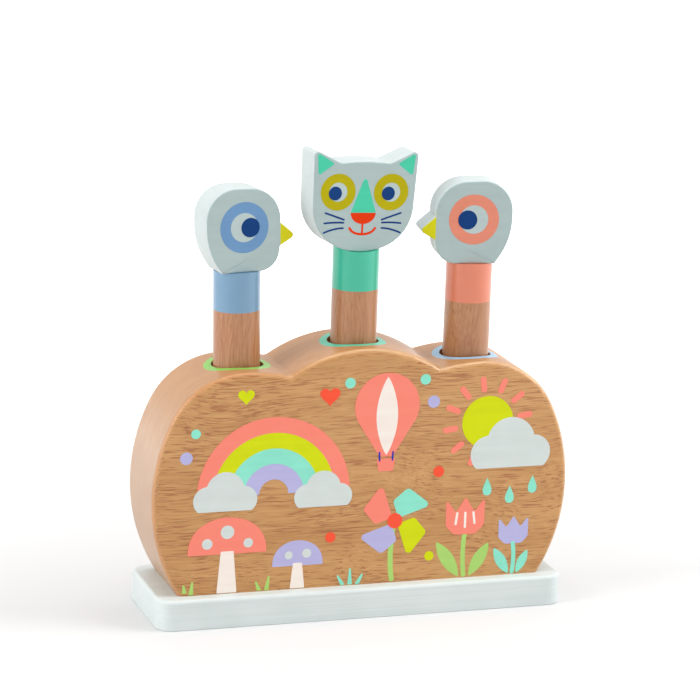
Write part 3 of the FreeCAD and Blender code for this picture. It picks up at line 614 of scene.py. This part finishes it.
drawn_wire = plated_steel("drawn_wire", SPRING_STEEL, roughness=0.3)
for side, middle in BORES.items():
    spring = wind_spring(side + "_wire_spring", middle, drawn_wire)
    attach(spring, "block")
    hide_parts(side + "_spring")
    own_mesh(spring)


# Pegs: 25 mm turned hardwood with the lower edge eased, their upper ends dipped in coloured paint
# to a straight line.  The middle one is hollowed on top to take the cat's chin.
PEG_FOOT = 0.0817
GUIDE_MIDDLE = 0.1091
PEG_TONES = ((192, 140, 100), (170, 115, 78))
PEG_PORE = (140, 82, 48)
PEG_PORE_STRENGTH = 0.3
DIP_SHADING = 0.96
# each figure's lean to the right and its turn about its peg, in degrees
FIGURES = {"left": (-0.9, 7.0), "centre": (0.4, 4.5), "right": (0.5, -8.0)}
# each peg's paint and how high above its foot the paint begins
PEG_PAINTS = {
    "left": ((118, 156, 186), 0.0838),
    "centre": ((60, 190, 156), 0.0928),
    "right": ((228, 132, 102), 0.0838),
}


def figure_seat(side, height):
    """Place of a figure's own frame: leaning about the middle of its guide, raised, then turned."""
    lean, turn = FIGURES[side]
    leaning = Matrix.Rotation(math.radians(lean), 4, "Y")
    raised = Matrix.Translation((0.0, 0.0, height - GUIDE_MIDDLE))
    turning = Matrix.Rotation(math.radians(turn), 4, "Z")
    return Matrix.Translation((BORES[side], 0.0, GUIDE_MIDDLE)) @ leaning @ raised @ turning


def from_seat(finish, place, seat):
    """Read the place in a seat's own frame."""
    back = seat.inverted()
    return add(finish, "Mapping", place, tuple(back.translation), tuple(back.to_euler("XYZ")))


def dipped_peg(name, side):
    """Timber below the paint line, read along the leaning peg, and satin paint above it."""
    paint, edge = PEG_PAINTS[side]
    finish, plain, pores, streaks = timber(name, "Z", PEG_TONES, roughness=0.32, gloss=0.5)
    wood = blend_colours(finish, sums(finish, "MULTIPLY", pores, PEG_PORE_STRENGTH), plain, PEG_PORE)
    place = own_place(finish)
    along = add(finish, "SeparateXYZ", from_seat(finish, place, figure_seat(side, PEG_FOOT)), out="Z")
    dipped = sums(finish, "GREATER_THAN", along, edge)
    deeper = tuple(DIP_SHADING * level for level in paint)
    coat = blend_colours(finish, mottle(finish, place, size=0.01), paint, deeper)
    feed(finish, "Base Color", blend_colours(finish, dipped, wood, coat))
    vary_roughness(finish, dipped, low=0.32, high=0.28)
    raise_bumps(finish, streaks, distance=0.00003)
    return finish


for side in SIDES:
    dress(dipped_peg(side + "_peg_hardwood", side), side + "_peg")


# Dowels: plain beech pins, turned and left bare, one between each head and its peg.
# They are glued into both, and no part of them shows.
BEECH_TONES = ((232, 200, 160), (214, 176, 132))
BEECH_PORE = (176, 128, 88)
BEECH_PORE_STRENGTH = 0.5
beech, plain, pores, streaks = timber("beech_dowel", "Z", BEECH_TONES, roughness=0.6)
shown = sums(beech, "MULTIPLY", pores, BEECH_PORE_STRENGTH)
feed(beech, "Base Color", blend_colours(beech, shown, plain, BEECH_PORE))
raise_bumps(beech, streaks, distance=0.00004)
for side in SIDES:
    dress(beech, side + "_head_dowel")


# Bird heads: flat wood cut to a round head on a short foot, beak on one side, painted pale all over
# and glued and pinned on the peg.  The beak is painted yellow on the front, and the eye is printed.
HEAD_HALF = 0.0095
BIRD_SEAT = 0.1867
HEAD_HAIRS = (40.0, 500.0, 300.0)
HEAD_EDGE = ((204, 213, 212), (198, 208, 207))
HEAD_FACE = ((177, 195, 194), (171, 189, 188))
FACE_PAINT_DEPTH = 0.0004
BEAK_FROM = 0.0209
BEAK_YELLOW = (214, 208, 4)
# the outline's corners before rounding, beak to the right, and the radius of each, in millimetres
BREAST_AND_BEAK = [(19.0, 0), (20.9, 12.8), (29.9, 17.9), (21.1, 25.4)]
CROWN_AND_NAPE = [(21.6, 43.9), (-20.6, 45.6), (-20.9, 13.5), (-11.9, 0)]
BIRD_RADII = (11.0, 0.5, 2.0, 0.4, 17.5, 16.5, 38.0, 0.5)
EASE = 0.8
EASE_STEPS = 6
# middles of the printed eye and its pupil, in millimetres from the seat, and each layer's height
EYE = (0.4, 24.1)
PUPIL = (3.8, 23.9)
LAYER = 0.06
NAVY = (12, 58, 118)
EYE_PALE = (184, 200, 199)
BIRDS = {"left": (1, (110, 150, 192)), "right": (-1, (228, 140, 116))}


def head_paint(name, seat, side):
    """Pale satin paint, a shade greyer on the printed face than on the sawn edges.

    The place is read in the head's own frame.  On the front, past the straight line of the breast,
    the beak's yellow goes on.
    """
    finish = start_finish(name, roughness=0.45, Specular_IOR_Level=0.25)
    own = from_seat(finish, own_place(finish), seat)
    spot = add(finish, "SeparateXYZ", own).node.outputs
    hairs = drawn_noise(finish, own, HEAD_HAIRS)
    tone = weighed(finish, hairs, mottle(finish, own, size=0.014))
    front = sums(finish, "LESS_THAN", spot["Y"], FACE_PAINT_DEPTH - HEAD_HALF)
    edge, face = (two_tones(finish, tone, *tones) for tones in (HEAD_EDGE, HEAD_FACE))
    shade = blend_colours(finish, front, edge, face)
    if side:
        past = sums(finish, "GREATER_THAN", sums(finish, "MULTIPLY", spot["X"], side), BEAK_FROM)
        shade = blend_colours(finish, sums(finish, "MULTIPLY", front, past), shade, BEAK_YELLOW)
    feed(finish, "Base Color", shade)
    vary_roughness(finish, hairs, low=0.38, high=0.52)
    raise_bumps(finish, hairs, distance=0.00004)
    return finish


def cut_head(name, corners, radii, way, seat, finish):
    """Flat head: the outline at each depth of a profile that rounds both edges by a quarter circle.

    The profile runs from the front cap to the back cap; where it rounds an edge, the outline draws
    in square to itself by the radius less its sine as it goes back by the radius less its cosine.
    """
    outline = (rounded(corners, radii, count=20) * (way, 1))[::way]
    ahead = np.roll(outline, -1, 0) - np.roll(outline, 1, 0)
    out = np.stack([ahead[:, 1], -ahead[:, 0]], 1) / np.linalg.norm(ahead, axis=1, keepdims=True)
    turn = np.linspace(0, np.pi / 2, EASE_STEPS)
    inset = EASE * (1 - np.sin(turn))
    depth = HEAD_HALF / MILLIMETRE - EASE * (1 - np.cos(turn))
    inset = np.concatenate([inset, inset[::-1]])
    depth = np.concatenate([-depth, depth[::-1]])
    flat = outline[None] - inset[:, None, None] * out[None]
    rows = np.stack([flat[..., 0], np.broadcast_to(depth[:, None], flat.shape[:2]), flat[..., 1]], 2)
    vertices = MILLIMETRE * rows.reshape(-1, 3) @ np.array(seat.to_3x3()).T + np.array(seat.translation)
    count = len(outline)
    here = np.arange(len(depth) - 1)[:, None] * count + np.arange(count)
    beside = np.roll(here, -1, 1)
    sides = np.stack([here, here + count, beside + count, beside], 2).reshape(-1, 4).tolist()
    caps = [list(range(count)), list(range(len(vertices) - 1, len(vertices) - count - 1, -1))]
    piece = make_piece(name, vertices, sides + caps, finish)
    piece.data.polygons.foreach_set("use_smooth", [True] * len(sides) + [False] * len(caps))
    return piece


navy = ink_finish("navy", NAVY)
eye_pale = ink_finish("eye_pale", EYE_PALE)
for side, (way, ring) in BIRDS.items():
    seat = figure_seat(side, BIRD_SEAT)
    paint = head_paint(side + "_bird_paint", seat, way)
    corners = BREAST_AND_BEAK + CROWN_AND_NAPE
    head = cut_head(side + "_bird_full_head", corners, BIRD_RADII, way, seat, paint)
    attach(head, side + "_bird_figure")
    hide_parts(side + "_bird_head")
    face = seat @ Matrix.Translation((0.0, -HEAD_HALF, 0.0))
    layers = (
        ("ring", ink_finish(side + "_ring", ring), disc(EYE[0] * way, EYE[1], 13.6, 120)),
        ("eye", eye_pale, disc(EYE[0] * way, EYE[1], 7.75, 96)),
        ("pupil", navy, disc(PUPIL[0] * way, PUPIL[1], 5.2, 72)),
    )
    for number, (name, ink, outline) in enumerate(layers, 1):
        film = side + "_bird_" + name
        lay_film(film, side + "_bird_figure", ink, [outline], face, LAYER * number)


# Cat head: flat wood cut to a round chin, two ears and a low crown, painted pale.  Its face is
# printed: ringed eyes, a green bridge over a red nose, whiskers, a smile and the insides of the ears.
CAT_SEAT = 0.19546
CHIN_MIDDLE = 0.036
CAT_ROLL = 2.2
# the drawing, in millimetres from the seat: across from the head's middle, and up from the chin
CAT_EYE = (15.1, 32.2)
CAT_PUPIL_HIGH = 31.5
CAT_GLANCE = 1.6
NOSE_HALF = 7.15
NOSE_TOP = 21.1
NOSE_FLATNESS = 0.84
BRIDGE = [(-NOSE_HALF, 21.2), (NOSE_HALF, 21.2), (0, 41.6)]
INNER_EAR = [(28.0, 53.2), (26.8, 41.0), (17.9, 47.4)]
SMILE = [(-7.3, 12.9), (-4.2, 10.3), (0, 9.6), (4.2, 10.3), (7.3, 12.9)]
LIP = [(0, 15.0), (0, 10.3)]
WHISKERS = (
    [(10.8, 17.4), (16, 19.2), (21.5, 21)],
    [(11, 15.8), (16, 15.9), (21.8, 15.5)],
    [(11, 12.9), (16, 12.3), (21.8, 10.4)],
)


def both_sides(outline):
    """An outline and its mirror image."""
    return [outline, outline * (-1, 1)]


def cat_eyes(radius, count, high=CAT_EYE[1], glance=0.0):
    """A disc at each eye, the same way off its middle on both."""
    return [disc(sign * CAT_EYE[0] - glance, high, radius, count) for sign in (-1, 1)]


def cat_nose():
    """Lower half of an ellipse."""
    turn = np.linspace(np.pi, 2 * np.pi, 64)
    return np.stack([NOSE_HALF * np.cos(turn), NOSE_TOP + NOSE_FLATNESS * NOSE_HALF * np.sin(turn)], 1)


about_chin = Matrix.Translation((0.0, 0.0, CHIN_MIDDLE))
rolling = Matrix.Rotation(math.radians(CAT_ROLL), 4, "Y")
cat_seat = figure_seat("centre", CAT_SEAT) @ about_chin @ rolling @ about_chin.inverted()
dress(head_paint("cat_paint", cat_seat, 0), "cat_head")
cat_face = cat_seat @ Matrix.Translation((0.0, -HEAD_HALF, 0.0))

green = [rounded(BRIDGE, (0.2, 0.2, 1.2))] + both_sides(rounded(INNER_EAR, 0.9))
mouth = [cat_nose(), stroke(LIP, 1.1), stroke(SMILE, 1.25)]
whiskers = [half for whisker in WHISKERS for half in both_sides(stroke(whisker, 0.95))]
features = (
    ("rings", (182, 170, 8), cat_eyes(9.85, 110), 1),
    ("bridge", (76, 204, 166), green, 1),
    ("nose", (226, 56, 2), mouth, 1),
    ("eyes", EYE_PALE, cat_eyes(5.1, 80), 2),
    ("pupils", NAVY, cat_eyes(3.7, 64, CAT_PUPIL_HIGH, CAT_GLANCE), 3),
    ("whiskers", (18, 60, 122), whiskers, 1),
)
for name, shade, outlines, layer in features:
    ink = ink_finish("cat_" + name, shade)
    lay_film("cat_" + name, "cat_figure", ink, outlines, cat_face, LAYER * layer)


# Studio: a white sweep of floor, broad soft lamps to both sides and above, and a long lens looking
# down at the toy from a little to the left of its front.
FLOOR_HALF = 12.0
FLOOR_DROP = 0.0002
FLOOR_GREY = 0.68
FLOOR_GLOW = 0.08
GLOW_NEAR, GLOW_FAR = 0.15, 0.8
SKY_LIGHT = 0.4
AIM = Vector((0, 0, 0.12))
# each lamp's place and breadth in metres, and its power in watts
LAMPS = {
    "left": ((-1.6, -0.25, 0.8), 1.3, 18.0),
    "right": ((1.55, -0.45, 0.95), 1.3, 22.0),
    "above": ((0.1, 0.1, 1.9), 1.5, 19.0),
    "front": ((-0.4, -1.9, 1.1), 1.2, 1.8),
}
LOOK_AT = Vector((-0.00137, 0.0, 0.13987))
CAMERA_DISTANCE = 1.7693
CAMERA_ANGLES = {"azimuth": -17.61, "elevation": 13.49, "roll": 1.546}
LENS_MM = 169.7
SENSOR_MM = 36.0
SIGHT_END = 60.0


def looked_at(lit):
    """Give 1 for rays that see a thing, straight or by a shine or through it, and 0 for its light."""
    path = add(lit, "LightPath").node.outputs
    indirect = sums(lit, "MAXIMUM", path["Is Glossy Ray"], path["Is Transmission Ray"])
    return sums(lit, "MAXIMUM", path["Is Camera Ray"], indirect)


grey = (FLOOR_GREY, FLOOR_GREY, FLOOR_GREY, 1.0)
floor_white = start_finish("floor_white", roughness=0.8, Base_Color=grey, Emission_Color=(1, 1, 1, 1))
reach = add(floor_white, "VectorMath", own_place(floor_white), operation="LENGTH", out="Value")
far = between(floor_white, reach, GLOW_NEAR, GLOW_FAR)
glow = from_to(floor_white, far, FLOOR_GLOW, 1 + FLOOR_GLOW)
feed(floor_white, "Emission Strength", sums(floor_white, "MULTIPLY", looked_at(floor_white), glow))
corners = np.array([(-1, -1, 0), (1, -1, 0), (1, 1, 0), (-1, 1, 0)]) * FLOOR_HALF - (0, 0, FLOOR_DROP)
make_piece("floor", corners, [(0, 1, 2, 3)], floor_white)

world = bpy.data.worlds.new("studio")
bpy.context.scene.world = world
world.use_nodes = True
backdrop = world.node_tree.nodes["Background"]
backdrop.inputs["Color"].default_value = (1, 1, 1, 1)
strength = add(world, "MapRange", looked_at(world), 0.0, 1.0, SKY_LIGHT, 1.0)
world.node_tree.links.new(strength, backdrop.inputs["Strength"])

for name, (stand, size, power) in LAMPS.items():
    light = bpy.data.lights.new(name + "_lamp", "AREA")
    light.shape = "DISK"
    light.size = size
    light.energy = power
    lamp = bpy.data.objects.new(name + "_lamp", light)
    bpy.context.scene.collection.objects.link(lamp)
    lamp.location = stand
    lamp.rotation_euler = (AIM - Vector(stand)).to_track_quat("-Z", "Y").to_euler()

azimuth, elevation, roll = (math.radians(angle) for angle in CAMERA_ANGLES.values())
level_back = Vector((math.sin(azimuth), -math.cos(azimuth), 0.0))
back = level_back * math.cos(elevation) + Vector((0.0, 0.0, math.sin(elevation)))
right = Vector((math.cos(azimuth), math.sin(azimuth), 0.0))
up = right.cross(-back)
across = right * math.cos(roll) + up * math.sin(roll)
upward = up * math.cos(roll) - right * math.sin(roll)
camera = bpy.data.objects.new("camera", bpy.data.cameras.new("camera"))
bpy.context.scene.collection.objects.link(camera)
camera.data.lens = LENS_MM
camera.data.sensor_width = SENSOR_MM
camera.data.clip_end = SIGHT_END
stand = Matrix.Translation(LOOK_AT + back * CAMERA_DISTANCE)
camera.matrix_world = stand @ Matrix((across, upward, back)).transposed().to_4x4()
bpy.context.scene.camera = camera
bpy.context.scene.view_settings.view_transform = "Standard"
